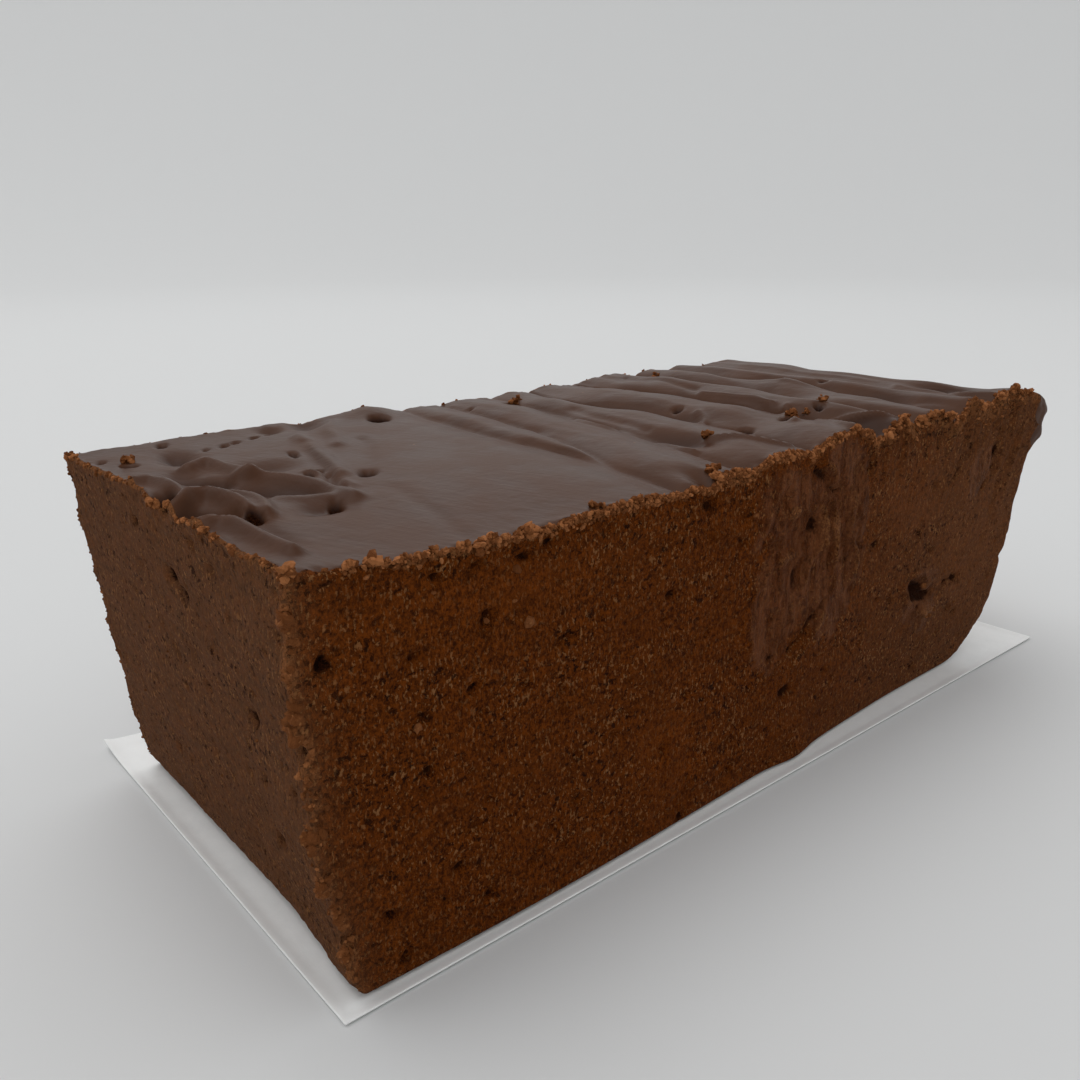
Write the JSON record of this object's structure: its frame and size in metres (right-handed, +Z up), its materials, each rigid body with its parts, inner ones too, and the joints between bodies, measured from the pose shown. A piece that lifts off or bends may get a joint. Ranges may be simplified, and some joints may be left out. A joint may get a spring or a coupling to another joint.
{
  "type": "chocolate fudge",
  "caption": "Block of chocolate fudge cut from a pan, with a smooth rippled top, one rounded pan end and crumbly cut faces, lying on a slip of waxed paper.",
  "frame": {"origin": "middle of the underside of the whole part's box, on the surface that it lies on", "axes": "+X along the slice towards its rounded pan end, +Y across it away from the front cut, +Z up"},
  "size_m": [0.1142, 0.0572, 0.0378],
  "materials": {
    "fudge": "grainy on the cut faces, satin on the top",
    "waxed_paper": "thin, translucent, waxed"
  },
  "bodies": {
    "root": {"fudge_block": "fudge", "wax_paper": "waxed_paper"}
  },
  "joints": []
}
